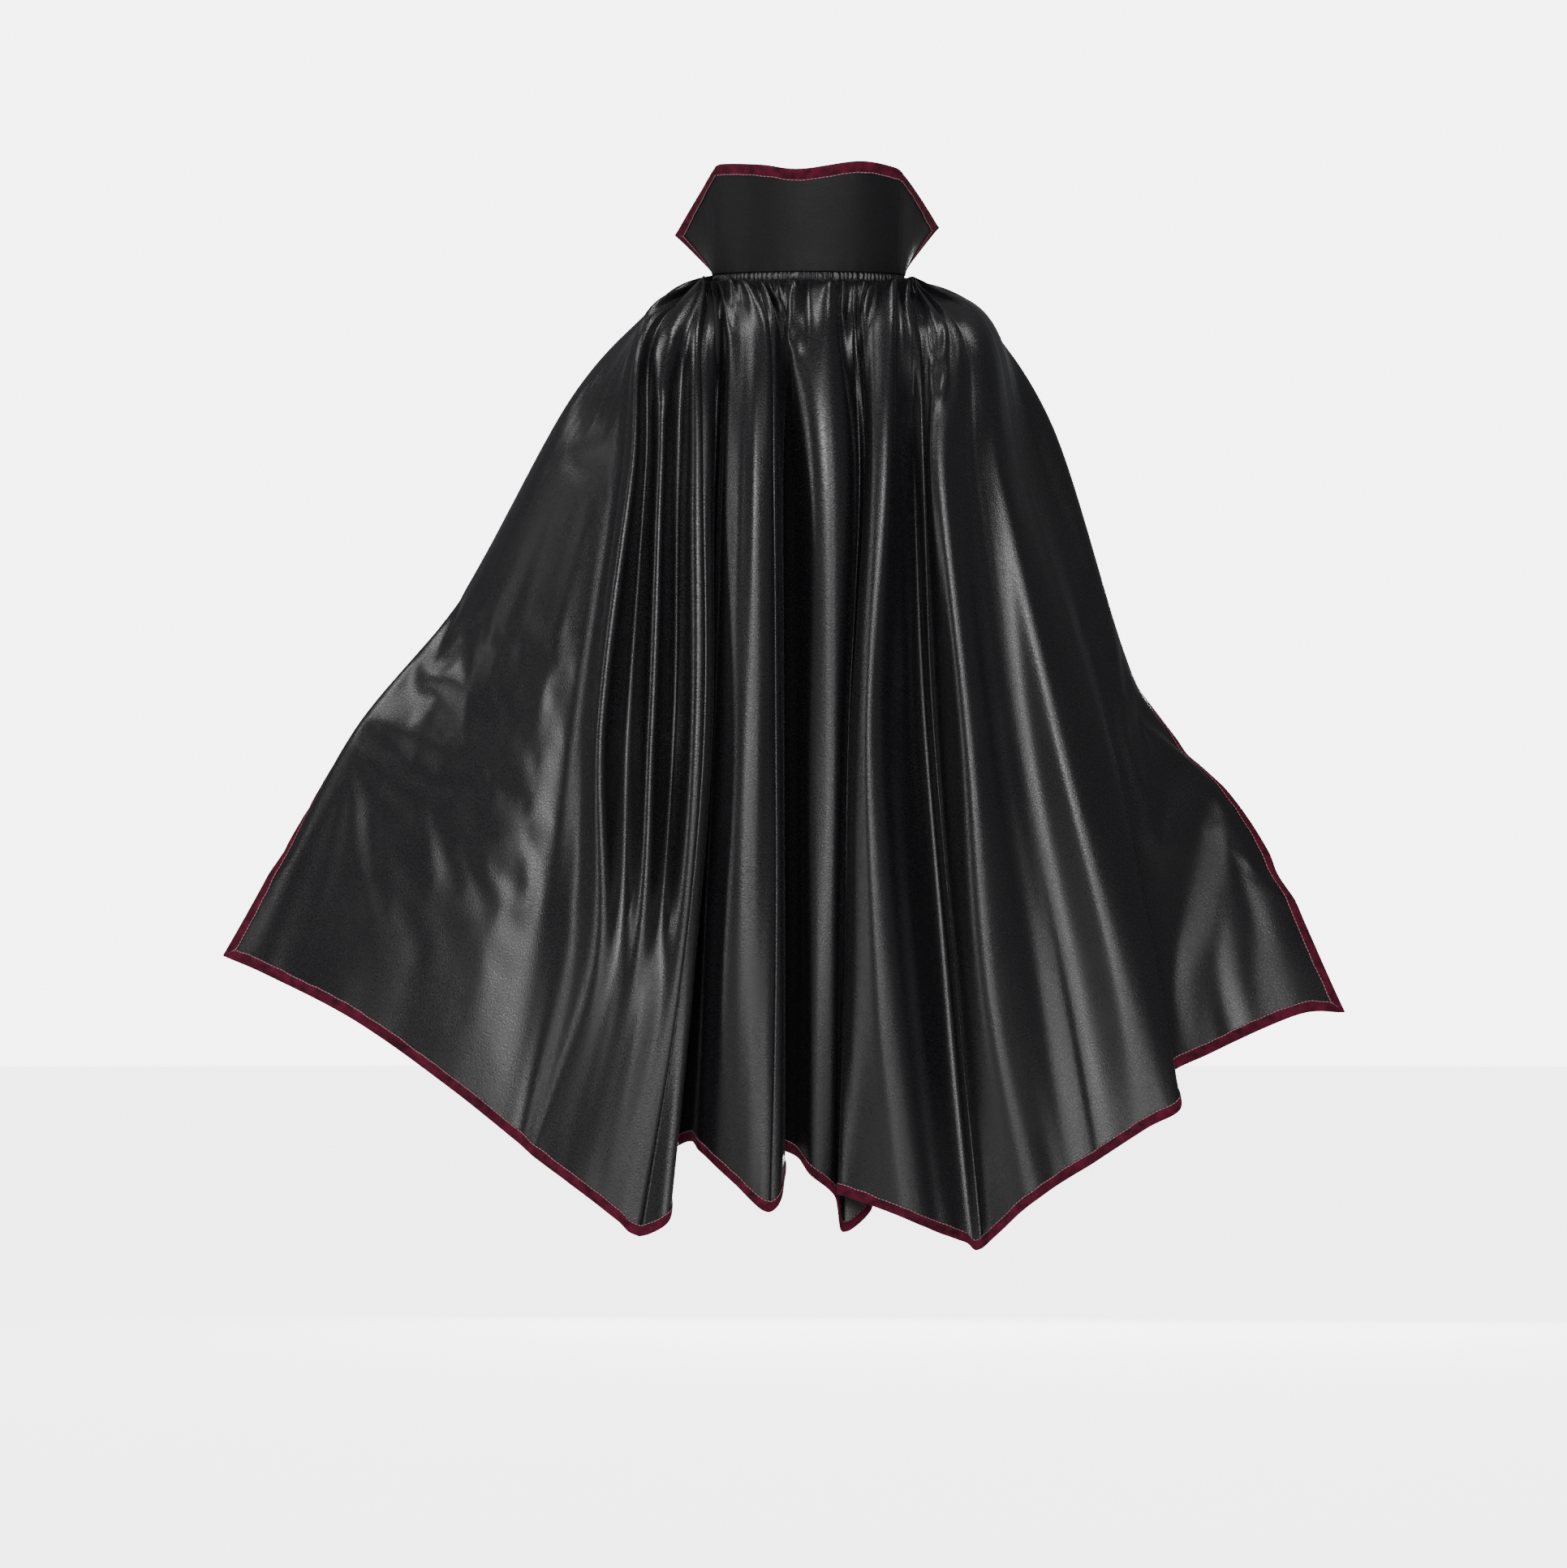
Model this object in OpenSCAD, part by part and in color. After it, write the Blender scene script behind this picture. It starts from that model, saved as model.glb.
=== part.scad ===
// Child's costume cape of black satin, bound with wine velvet, with a stiff standing collar.
// It is frozen in the shape it takes when it is worn and its front edges are held out.
// The wearer faces +Y, Z is up, and the origin is the centre of the neck opening at the neck seam.

/* [Neck] */
// Half of the width of the oval neck seam
neck_half_w = 84; // [78:1:90]
// Half of the front-to-back depth of the neck seam
neck_half_d = 62; // [58:1:66]
// Angle from the back centre to each front end of the neck seam, in degrees
neck_end = 155; // [150:1:158]
// Height of the shirred casing that holds the neck elastic
casing_h = 10; // [8:1:12]

/* [Collar] */
// Height of the collar's top edge above the neck seam at the centre back
collar_h = 100; // [85:1:115]
// Height of the collar's side points above the neck seam
collar_point_h = 54; // [44:1:62]
// Distance of each side point from the centre plane
collar_point_x = 115; // [105:1:125]
// Angle from the back centre to each front end of the collar, in degrees
collar_end = 112; // [106:1:116]
// Thickness of the stiffening sheet inside the collar
stiffener_t = 1.6; // [1:0.2:2.4]

/* [Cape] */
// Drop from the neck seam to the hem point behind the right leg
cape_drop = 846; // [760:2:900]
// Width over both held-out hem corners
cape_span = 989; // [900:1:1060]
// Thickness of the cape's satin as modelled
satin_t = 1.6; // [1.2:0.2:2]

/* [Binding] */
// Visible width of the velvet binding
binding_w = 9; // [8:1:11]
// Wall thickness of the binding on each side of the satin
binding_wall = 0.8; // [0.6:0.1:1]

/* [Closure] */
// Height of the two closure tabs
tab_h = 16; // [12:1:18]
// Thickness of each closure tab
tab_t = 1.6; // [1.2:0.2:2]
// Thickness of the hook tape and of the loop tape
tape_t = 1.3; // [1.2:0.1:1.6]

/* [Hidden] */

// ---------- drape: lines that run down the cape from the neck seam to the hem ----------
// Each line is its angle on the neck seam, counted from the back centre, and the points that it
// passes at the shoulder, the shoulder blade, the waist, the hip and the hem. X and Z are for the
// nominal span and drop. A line with four points gets its shoulder point from its neighbours.
nominal_span = 989;
nominal_drop = 846;

left_front_lines = [
    [-155, [-88, 78, -48], [-172, 58, -118], [-300, 12, -278], [-425, -25, -434], [-518, -48, -596]],
    [-140, [-118, 24, -24], [-203, -6, -107], [-316, -18, -285], [-408, -46, -418], [-476, -68, -613]],
    [-128, [-132, -20, -34], [-205, -50, -150], [-290, -70, -335], [-350, -84, -490], [-400, -96, -650]],
    [-118, [-140, -48, -44], [-190, -80, -170], [-240, -98, -380], [-282, -108, -560], [-320, -116, -704]],
    [-110, [-143, -68, -50], [-172, -92, -170], [-205, -108, -390], [-228, -116, -590], [-258, -124, -752]],
    [-104, [-144, -84, -50], [-154, -120, -170], [-178, -134, -390], [-184, -136, -590], [-236, -132, -771]],
    [-98, [-136, -80, -50], [-142, -102, -170], [-158, -110, -390], [-168, -124, -595], [-218, -137, -784]],
    [-94, [-124, -92, -50], [-129, -126, -170], [-138, -138, -390], [-150, -138, -600], [-200, -142, -797]],
    [-90, [-110, -86, -50], [-114, -104, -170], [-120, -112, -390], [-138, -128, -605], [-184, -144, -809]],
    [-87, [-100, -92, -50], [-101, -124, -170], [-104, -138, -390], [-122, -142, -610], [-166, -148, -823]],
    [-85, [-93, -120, -170], [-93, -136, -400], [-112, -142, -615], [-148, -150, -836]]
];
back_lines = [
    [
        [-85, [-93, -120, -170], [-93, -136, -400], [-112, -142, -615], [-148, -150, -836]],
        [-76, [-82, -126, -170], [-82, -142, -400], [-98, -147, -620], [-119, -150, -818]],
        [-68, [-84, -104, -170], [-92, -106, -400], [-114, -104, -600], [-134, -100, -776]],
        [-60, [-74, -106, -170], [-80, -110, -400], [-90, -110, -600], [-104, -110, -756]],
        [-48, [-54, -124, -170], [-57, -132, -400], [-62, -134, -615], [-68, -132, -788]],
        [-34, [-34, -128, -170], [-34, -138, -400], [-34, -142, -620], [-35, -142, -814]]
    ],
    [
        [-34, [-34, -128, -170], [-34, -138, -400], [-34, -142, -620], [-35, -142, -814]],
        [-27, [-27, -120, -170], [-24, -126, -400], [-22, -130, -610], [-22, -132, -782]],
        [-19, [-30, -103, -170], [-34, -102, -400], [-38, -98, -600], [-42, -96, -762]],
        [-11, [-16, -106, -170], [-18, -106, -400], [-16, -104, -600], [-14, -104, -771]],
        [2, [8, -122, -170], [3, -122, -400], [3, -118, -615], [3, -114, -786]],
        [17, [34, -112, -170], [22, -110, -400], [20, -106, -620], [20, -104, -804]],
        [27, [50, -104, -170], [36, -102, -400], [32, -97, -630], [28, -94, -834]]
    ],
    [
        [27, [50, -104, -170], [36, -102, -400], [32, -97, -630], [28, -94, -834]],
        [36, [58, -106, -170], [50, -108, -400], [54, -104, -620], [58, -100, -808]],
        [44, [50, -124, -170], [34, -132, -400], [28, -136, -620], [28, -138, -800]],
        [56, [64, -132, -170], [52, -148, -400], [68, -152, -630], [94, -152, -824]],
        [72, [90, -106, -170], [98, -112, -400], [122, -120, -635], [136, -132, -840]],
        [85, [98, -108, -170], [107, -116, -400], [131, -124, -640], [150, -134, -846]]
    ]
];
right_front_lines = [
    [85, [98, -108, -170], [107, -116, -400], [131, -124, -640], [150, -134, -846]],
    [90, [112, -128, -170], [140, -142, -400], [168, -150, -630], [202, -152, -804]],
    [98, [140, -82, -50], [150, -100, -170], [186, -112, -400], [228, -124, -610], [256, -138, -768]],
    [106, [152, -68, -46], [172, -88, -165], [222, -112, -400], [270, -128, -600], [296, -138, -742]],
    [113, [156, -50, -44], [190, -66, -165], [258, -94, -395], [302, -116, -585], [325, -130, -722]],
    [120, [156, -34, -42], [198, -50, -165], [266, -74, -395], [300, -92, -575], [312, -104, -698]],
    [128, [152, -14, -36], [206, -34, -160], [284, -58, -395], [326, -74, -560], [350, -86, -680]],
    [140, [126, 24, -26], [210, -4, -124], [292, -26, -350], [380, -42, -495], [430, -64, -648]],
    [155, [88, 78, -48], [174, 56, -126], [284, 2, -338], [398, -26, -486], [471, -52, -646]]
];

function mix(a, b, t) = a + (b - a) * t;
function unit(v) = v / max(norm(v), 1e-9);
function neck_point(angle, z, grow = 0) =
    [(neck_half_w + grow) * sin(angle), -(neck_half_d + grow) * cos(angle), z];
function placed(p) = [p[0] * cape_span / nominal_span, p[1], p[2] * cape_drop / nominal_drop];

// The stations of one drape line, from its neck point to the hem.
seam_z = -1.5;
function stations(row) =
    let (top = neck_point(row[0], seam_z), n = len(row),
         shoulder = n == 6 ? placed(row[1])
                  : [mix(top[0], row[1][0], 0.5), mix(top[1], row[1][1], 0.62), -50])
    concat([top, shoulder], [for (i = [n - 4:n - 1]) placed(row[i])]);

// Point at t from b to c on the curve that also passes a and d.
function curve(a, b, c, d, t) =
    0.5 * (2 * b + (c - a) * t + (2 * a - 5 * b + 4 * c - d) * t * t + (3 * b - a - 3 * c + d) * t * t * t);

// Point at u, from 0 to len(p) - 1, on the smooth curve through the points p.
function along(p, u) =
    let (last = len(p) - 1, i = min(floor(u), last - 1), t = u - i,
         before = i > 0 ? p[i - 1] : 2 * p[0] - p[1],
         after = i < last - 1 ? p[i + 2] : 2 * p[last] - p[last - 1])
    curve(before, p[i], p[i + 1], after, t);

// Where the rows of a panel lie, from the neck seam to the hem, as station numbers.
row_at = [0:0.5:5];

// A column of points down the cape: the rows above, and one at the binding's upper edge.
function column(lines, u) =
    let (s = [for (k = [0:5]) along([for (l = lines) l[k]], u)],
         p = [for (v = row_at) along(s, v)], last = len(p) - 1,
         upper = p[last] + binding_w * unit(p[last - 1] - p[last]))
    concat([for (j = [0:last - 1]) p[j]], [upper, p[last]]);

// Columns of points for one panel, with step columns from each drape line to the next.
function panel_columns(rows, step) =
    let (lines = [for (r = rows) stations(r)], n = (len(lines) - 1) * step)
    [for (i = [0:n]) column(lines, i / step)];

// A front panel's grid, with one more column at the inner edge of its front binding.
function with_edge_column(g) =
    concat([g[0]], [[for (j = [0:len(g[0]) - 1]) g[0][j] + binding_w * unit(g[1][j] - g[0][j])]],
           [for (i = [1:len(g) - 1]) g[i]]);
function reversed(g) = [for (i = [len(g) - 1:-1:0]) g[i]];

columns_per_line = 2;
grids = [
    with_edge_column(panel_columns(left_front_lines, columns_per_line)),
    panel_columns(back_lines[0], columns_per_line),
    panel_columns(back_lines[1], columns_per_line),
    panel_columns(back_lines[2], columns_per_line),
    reversed(with_edge_column(reversed(panel_columns(right_front_lines, columns_per_line))))
];
// All five gores in one grid, in which neighbours share the column at their seam.
sheet = [for (k = [0:4]) for (i = [(k == 0 ? 0 : 1):len(grids[k]) - 1]) grids[k][i]];
function first_column(k) = k == 0 ? 0 : first_column(k - 1) + len(grids[k - 1]) - 1;

// ---------- collar: the top point above each angle of the neck seam ----------
collar_tops = [
    [-collar_end, [-collar_point_x - 3, 57, collar_point_h - 4]],
    [-98, [-collar_point_x + 10, 23, mix(collar_point_h - 4, collar_h, 0.37)]],
    [-84, [-collar_point_x + 22, -11, mix(collar_point_h - 4, collar_h, 0.72)]],
    [-70, [-82, -44, collar_h + 2]],
    [-62, [-76, -52, collar_h + 5]],
    [-34, [-42, -72, collar_h + 3]],
    [-5, [-8, -78, collar_h - 3]],
    [32, [44, -74, collar_h + 6]],
    [62, [76, -52, collar_h + 3]],
    [70, [82, -44, collar_h - 1]],
    [84, [collar_point_x - 22, -11, mix(collar_point_h, collar_h, 0.7)]],
    [98, [collar_point_x - 10, 23, mix(collar_point_h, collar_h, 0.35)]],
    [collar_end, [collar_point_x, 57, collar_point_h + 2]]
];
columns_per_top = 2;
// The collar's lower edge clears the casing by this much
collar_lift = 0.6;
collar_rows = [0, 0.35, 0.7];
function collar_column(u) =
    let (base = neck_point(along([for (t = collar_tops) t[0]], u), casing_h + collar_lift),
         top = along([for (t = collar_tops) t[1]], u))
    concat([for (v = collar_rows) mix(base, top, v)], [top + binding_w * unit(base - top), top]);
collar_plain = [for (i = [0:(len(collar_tops) - 1) * columns_per_top]) collar_column(i / columns_per_top)];
collar = reversed(with_edge_column(reversed(with_edge_column(collar_plain))));

// ---------- layers ----------
// Clearances: between the layers of the collar, along a seam, and between bands sewn on each other
layer_gap = 0.2;
seam_gap = 0.7;
sewn_gap = 0.15;
cover_t = 0.9;
stiffener_face = stiffener_t / 2;
cover_inner_face = stiffener_face + layer_gap;
cover_outer_face = cover_inner_face + cover_t;
casing_t = 2 * tape_t;
casing_face = casing_t / 2;
casing_wall = 0.8;
elastic_t = 0.8;
elastic_h = casing_h - 4;
casing_end = neck_end - 0.5;
cling_gap = 0.3;
tab_face = casing_face + cling_gap;
tab_z = 0.5;
tape_inset = 2;
label_h = 34;
label_t = 0.6;
// Angles on the neck oval: how far each tab lies beside its casing end and reaches past the throat,
// and half of what the tapes and the label cover
tab_overlap = 4;
tab_reach = 18;
tape_reach = 13;
label_half_angle = 9;

// ---------- hinge lines of the two held-out wings ----------
wing_hinge_x = 220;
wing_hinge_gap = 24;
room = 2000;

function step_at(g, i, j) =
    [g[min(i + 1, len(g) - 1)][j] - g[max(i - 1, 0)][j], g[i][min(j + 1, len(g[0]) - 1)] - g[i][max(j - 1, 0)]];
function normals(g) =
    [for (i = [0:len(g) - 1]) [for (j = [0:len(g[0]) - 1])
        let (s = step_at(g, i, j)) unit(cross(s[0], s[1]))]];
sheet_normals = normals(sheet);
collar_normals = normals(collar);

// A closed solid between two grids of the same size. The second lies on the side of the normals.
module shell_between(under, over) {
    nu = len(under);
    nv = len(under[0]);
    m = nu * nv;
    function at(i, j) = i * nv + j;
    function strip(a, b) = [[a, m + a, m + b], [a, m + b, b]];
    points = [for (side = [under, over]) for (line = side) for (p = line) p];
    faces = concat(
        [for (i = [0:nu - 2]) for (j = [0:nv - 2]) each [
            [at(i, j), at(i + 1, j), at(i + 1, j + 1)], [at(i, j), at(i + 1, j + 1), at(i, j + 1)],
            [m + at(i, j), m + at(i + 1, j + 1), m + at(i + 1, j)],
            [m + at(i, j), m + at(i, j + 1), m + at(i + 1, j + 1)]]],
        [for (i = [0:nu - 2]) each strip(at(i, 0), at(i + 1, 0))],
        [for (i = [0:nu - 2]) each strip(at(i + 1, nv - 1), at(i, nv - 1))],
        [for (j = [0:nv - 2]) each strip(at(0, j + 1), at(0, j))],
        [for (j = [0:nv - 2]) each strip(at(nu - 1, j), at(nu - 1, j + 1))]);
    polyhedron(points, faces);
}

// Columns first to last and rows top to bottom of grid g.
function piece_of(g, first, last, top, bottom) = [for (i = [first:last]) [for (j = [top:bottom]) g[i][j]]];

// Grid g with its outer columns and rows moved inwards by the seam's clearance.
function moved(p, towards) = p + seam_gap * unit(towards - p);
function ends_in(line) =
    let (n = len(line) - 1)
    [for (k = [0:n]) k == 0 ? moved(line[0], line[1]) : k == n ? moved(line[n], line[n - 1]) : line[k]];
function turned(g) = [for (j = [0:len(g[0]) - 1]) [for (i = [0:len(g) - 1]) g[i][j]]];
function pulled_in(g) = turned([for (row = turned([for (line = g) ends_in(line)])) ends_in(row)]);

// Grid g as a layer from height low to height high along its normals n.
module layer(g, n, low, high) {
    inside = pulled_in(g);
    function at_height(h) = [for (i = [0:len(g) - 1]) [for (j = [0:len(g[0]) - 1]) inside[i][j] + h * n[i][j]]];
    shell_between(at_height(low), at_height(high));
}

// The binding along an edge of grid g, folded round what it binds. The path is a list of
// [edge column, edge row, inner column, inner row].
module folded_binding(g, n, path, half_t) {
    function pair(grid, c) = [grid[c[2]][c[3]], grid[c[0]][c[1]]];
    half = half_t + binding_wall;
    layer([for (c = path) pair(g, c)], [for (c = path) pair(n, c)], -half, half);
}

// A band that stands on the neck oval between two angles, from radius in to radius out.
module neck_band(from, to, in, out, low, high, angle_step = 3) {
    steps = ceil((to - from) / angle_step);
    function edge(grow) = [for (i = [0:steps])
        let (p = neck_point(mix(from, to, i / steps), 0, grow)) [p[0], p[1]]];
    ring = concat(edge(out), reversed(edge(in)));
    translate([0, 0, low]) linear_extrude(high - low) polygon(ring);
}

// What lies on the body's side of a wing's hinge line, or past it. Side is -1 for the left wing.
module body_side(side) {
    intersection() {
        children();
        translate([side > 0 ? -room : -wing_hinge_x + wing_hinge_gap / 2, -room / 2, -room])
            cube([room + wing_hinge_x - wing_hinge_gap / 2, room, 2 * room]);
    }
}
module wing_side(side) {
    intersection() {
        children();
        translate([side > 0 ? wing_hinge_x + wing_hinge_gap / 2 : -room, -room / 2, -room])
            cube([room - wing_hinge_x - wing_hinge_gap / 2, room, 2 * room]);
    }
}

// ---------- collar, casing and closure ----------
module collar_layer(low, high) {
    right = len(collar) - 2;
    top = len(collar[0]) - 2;
    layer(piece_of(collar, 1, right, 0, top), piece_of(collar_normals, 1, right, 0, top), low, high);
}
module collar_outer() {
    color("#1d1c20") collar_layer(cover_inner_face, cover_outer_face);
}
module collar_stiffener() {
    color("#d9d6cf") collar_layer(-stiffener_face, stiffener_face);
}
module collar_lining() {
    color("#1d1c20") collar_layer(-cover_outer_face, -cover_inner_face);
}
module collar_binding() {
    right = len(collar) - 1;
    top = len(collar[0]) - 1;
    path = concat(
        [for (j = [0:top - 2]) [0, j, 1, j]],
        [[0, top, 1, top - 1]],
        [for (i = [2:right - 2]) [i, top, i, top - 1]],
        [[right, top, right - 1, top - 1]],
        [for (j = [top - 2:-1:0]) [right, j, right - 1, j]]);
    color("#5e0d24") folded_binding(collar, collar_normals, path, cover_outer_face);
}

module neck_casing() {
    color("#1d1c20") difference() {
        neck_band(-neck_end, neck_end, -casing_face, casing_face, 0, casing_h);
        neck_band(-casing_end, casing_end, casing_wall - casing_face, casing_face - casing_wall,
                  casing_wall, casing_h - casing_wall);
    }
}
module neck_elastic() {
    color("#e8e6e0") neck_band(-casing_end + 1, casing_end - 1, -elastic_t / 2, elastic_t / 2,
                               (casing_h - elastic_h) / 2, (casing_h + elastic_h) / 2);
}
module care_label() {
    color("#f2f0ea") neck_band(-label_half_angle, label_half_angle, -casing_face - label_t - sewn_gap,
                               -casing_face - sewn_gap, casing_h / 2 - label_h, casing_h / 2);
}

left_end = 360 - neck_end;
module closure_tab() {
    color("#1d1c20") neck_band(180 - tab_reach, left_end + tab_overlap, tab_face, tab_face + tab_t,
                               tab_z, tab_z + tab_h);
}
module hook_tape() {
    color("#141317") neck_band(180 - tape_reach, 180 + tape_reach, tab_face - tape_t, tab_face - sewn_gap,
                               tab_z + tape_inset, tab_z + tab_h - tape_inset);
}
module under_tab() {
    color("#1d1c20") neck_band(neck_end - tab_overlap, 180 + tab_reach, -casing_face - sewn_gap - tab_t,
                               -casing_face - sewn_gap, tab_z, tab_z + tab_h);
}
module loop_tape() {
    color("#141317") neck_band(180 - tape_reach, 180 + tape_reach, -casing_face, tape_t - casing_face,
                               tab_z + tape_inset, tab_z + tab_h - tape_inset);
}

// ---------- gores ----------
hem = len(sheet[0]) - 1;
last_column = len(sheet) - 1;
module gore(k) {
    first = first_column(k) + (k == 0 ? 1 : 0);
    last = first_column(k + 1) - (k == 4 ? 1 : 0);
    color("#1d1c20")
        layer(piece_of(sheet, first, last, 0, hem - 1), piece_of(sheet_normals, first, last, 0, hem - 1),
              -satin_t / 2, satin_t / 2);
}
module left_back_panel() {
    gore(1);
}
module centre_back_panel() {
    gore(2);
}
module right_back_panel() {
    gore(3);
}
module left_shoulder_panel() {
    body_side(-1) gore(0);
}
module left_wing_panel() {
    wing_side(-1) gore(0);
}
module right_shoulder_panel() {
    body_side(1) gore(4);
}
module right_wing_panel() {
    wing_side(1) gore(4);
}

// ---------- velvet binding of the hem and of the front edges ----------
left_corner = [0, hem, 1, hem - 1];
right_corner = [last_column, hem, last_column - 1, hem - 1];

module cape_binding(path) {
    color("#5e0d24") folded_binding(sheet, sheet_normals, path, satin_t / 2);
}
function hem_path(from, to) = [for (i = [from:to]) [i, hem, i, hem - 1]];
module back_hem_binding(k) {
    cape_binding(hem_path(first_column(k), first_column(k + 1)));
}
module left_hem_binding() {
    cape_binding(concat([left_corner], hem_path(2, first_column(1))));
}
module right_hem_binding() {
    cape_binding(concat(hem_path(first_column(4), last_column - 2), [right_corner]));
}
module left_front_binding() {
    cape_binding(concat([for (j = [0:hem - 2]) [0, j, 1, j]], [left_corner]));
}
module right_front_binding() {
    cape_binding(concat([right_corner], [for (j = [hem - 2:-1:0]) [last_column, j, last_column - 1, j]]));
}
module left_back_hem_binding() {
    back_hem_binding(1);
}
module centre_back_hem_binding() {
    back_hem_binding(2);
}
module right_back_hem_binding() {
    back_hem_binding(3);
}
module left_shoulder_hem_binding() {
    body_side(-1) left_hem_binding();
}
module left_wing_hem_binding() {
    wing_side(-1) left_hem_binding();
}
module left_throat_binding() {
    body_side(-1) left_front_binding();
}
module left_wing_edge_binding() {
    wing_side(-1) left_front_binding();
}
module right_shoulder_hem_binding() {
    body_side(1) right_hem_binding();
}
module right_wing_hem_binding() {
    wing_side(1) right_hem_binding();
}
module right_throat_binding() {
    body_side(1) right_front_binding();
}
module right_wing_edge_binding() {
    wing_side(1) right_front_binding();
}

collar_outer();
collar_stiffener();
collar_lining();
collar_binding();
neck_casing();
neck_elastic();
care_label();
closure_tab();
hook_tape();
under_tab();
loop_tape();
left_back_panel();
centre_back_panel();
right_back_panel();
left_back_hem_binding();
centre_back_hem_binding();
right_back_hem_binding();
left_shoulder_panel();
left_shoulder_hem_binding();
left_throat_binding();
right_shoulder_panel();
right_shoulder_hem_binding();
right_throat_binding();
left_wing_panel();
left_wing_hem_binding();
left_wing_edge_binding();
right_wing_panel();
right_wing_hem_binding();
right_wing_edge_binding();
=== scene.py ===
# A child's costume cape of black satin, worn and held open at its front edges: stiff standing
# collar, shirred neck casing, five flared gores with a scalloped hem, and wine velvet binding.
import math

import bmesh
import bpy
import numpy as np
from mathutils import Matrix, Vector, noise


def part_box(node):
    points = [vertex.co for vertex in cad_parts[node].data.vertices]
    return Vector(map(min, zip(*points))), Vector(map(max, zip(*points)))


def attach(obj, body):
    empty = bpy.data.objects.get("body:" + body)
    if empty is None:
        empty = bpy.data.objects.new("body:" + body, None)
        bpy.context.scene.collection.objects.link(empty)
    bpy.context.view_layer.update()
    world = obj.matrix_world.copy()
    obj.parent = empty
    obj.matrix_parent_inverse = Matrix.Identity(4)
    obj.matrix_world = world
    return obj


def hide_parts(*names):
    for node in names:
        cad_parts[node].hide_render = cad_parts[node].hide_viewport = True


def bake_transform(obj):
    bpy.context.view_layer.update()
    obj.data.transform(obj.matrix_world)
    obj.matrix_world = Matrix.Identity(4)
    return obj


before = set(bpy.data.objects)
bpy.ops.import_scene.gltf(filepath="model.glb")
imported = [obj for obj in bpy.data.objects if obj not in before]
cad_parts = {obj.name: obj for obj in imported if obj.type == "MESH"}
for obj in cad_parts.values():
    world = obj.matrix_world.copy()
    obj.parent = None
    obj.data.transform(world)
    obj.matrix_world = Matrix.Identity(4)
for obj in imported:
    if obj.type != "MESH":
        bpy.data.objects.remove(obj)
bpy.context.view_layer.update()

# ---------- the room and the camera ----------
# A pale floor under a pale sky, soft lights round the wearer with the brightest behind, and a
# level camera behind the wearer's back. Nothing here is part of the cape.
scene = bpy.context.scene
floor_z = -1.134
camera_distance = 8.0
camera_x, camera_z = -0.0225, -0.444
cape_depth = 0.11
view_width = 1.38
seen_pale, cast_pale = 6.0, 0.16

bm = bmesh.new()
bmesh.ops.create_circle(bm, cap_ends=True, segments=96, radius=14)
bmesh.ops.translate(bm, verts=bm.verts, vec=(0, 0, floor_z))
floor_mesh = bpy.data.meshes.new("floor")
bm.to_mesh(floor_mesh)
bm.free()
floor = bpy.data.objects.new("floor", floor_mesh)
scene.collection.objects.link(floor)


def new_finish(name):
    """A new material with its nodes, its links and its shader."""
    made = bpy.data.materials.new(name)
    made.use_nodes = True
    return made, made.node_tree.nodes, made.node_tree.links, made.node_tree.nodes["Principled BSDF"]


floor_paint, floor_nodes, floor_links, floor_shader = new_finish("pale floor")
floor_shader.inputs["Base Color"].default_value = (0.93, 0.93, 0.93, 1)
floor_shader.inputs["Roughness"].default_value = 0.9
glow = floor_nodes.new("ShaderNodeEmission")
glow.inputs["Strength"].default_value = seen_pale
floor_ray = floor_nodes.new("ShaderNodeLightPath")
floor_share = floor_nodes.new("ShaderNodeMath")
floor_share.operation = "MULTIPLY"
floor_share.inputs[1].default_value = 0.75
floor_mix = floor_nodes.new("ShaderNodeMixShader")
floor_links.new(floor_ray.outputs["Is Camera Ray"], floor_share.inputs[0])
floor_links.new(floor_share.outputs[0], floor_mix.inputs["Fac"])
floor_links.new(floor_shader.outputs[0], floor_mix.inputs[1])
floor_links.new(glow.outputs[0], floor_mix.inputs[2])
floor_links.new(floor_mix.outputs[0], floor_nodes["Material Output"].inputs["Surface"])
floor_mesh.materials.append(floor_paint)

sky = bpy.data.worlds.new("studio")
scene.world = sky
sky.use_nodes = True
sky_nodes, sky_links = sky.node_tree.nodes, sky.node_tree.links
seen_sky = sky_nodes.new("ShaderNodeBackground")
seen_sky.inputs["Color"].default_value = (1, 1, 1, 1)
seen_sky.inputs["Strength"].default_value = seen_pale
light_sky = sky_nodes["Background"]
light_sky.inputs["Color"].default_value = (0.95, 0.97, 1, 1)
light_sky.inputs["Strength"].default_value = cast_pale
ray = sky_nodes.new("ShaderNodeLightPath")
either = sky_nodes.new("ShaderNodeMixShader")
sky_links.new(ray.outputs["Is Camera Ray"], either.inputs["Fac"])
sky_links.new(light_sky.outputs[0], either.inputs[1])
sky_links.new(seen_sky.outputs[0], either.inputs[2])
sky_links.new(either.outputs[0], sky_nodes["World Output"].inputs["Surface"])


def soft_light(name, place, target, width, height, power):
    light = bpy.data.lights.new(name, "AREA")
    light.shape = "RECTANGLE"
    light.size, light.size_y = width, height
    light.energy = power
    lamp = bpy.data.objects.new(name, light)
    scene.collection.objects.link(lamp)
    lamp.location = place
    lamp.rotation_euler = (Vector(target) - Vector(place)).to_track_quat("-Z", "Y").to_euler()


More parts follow.
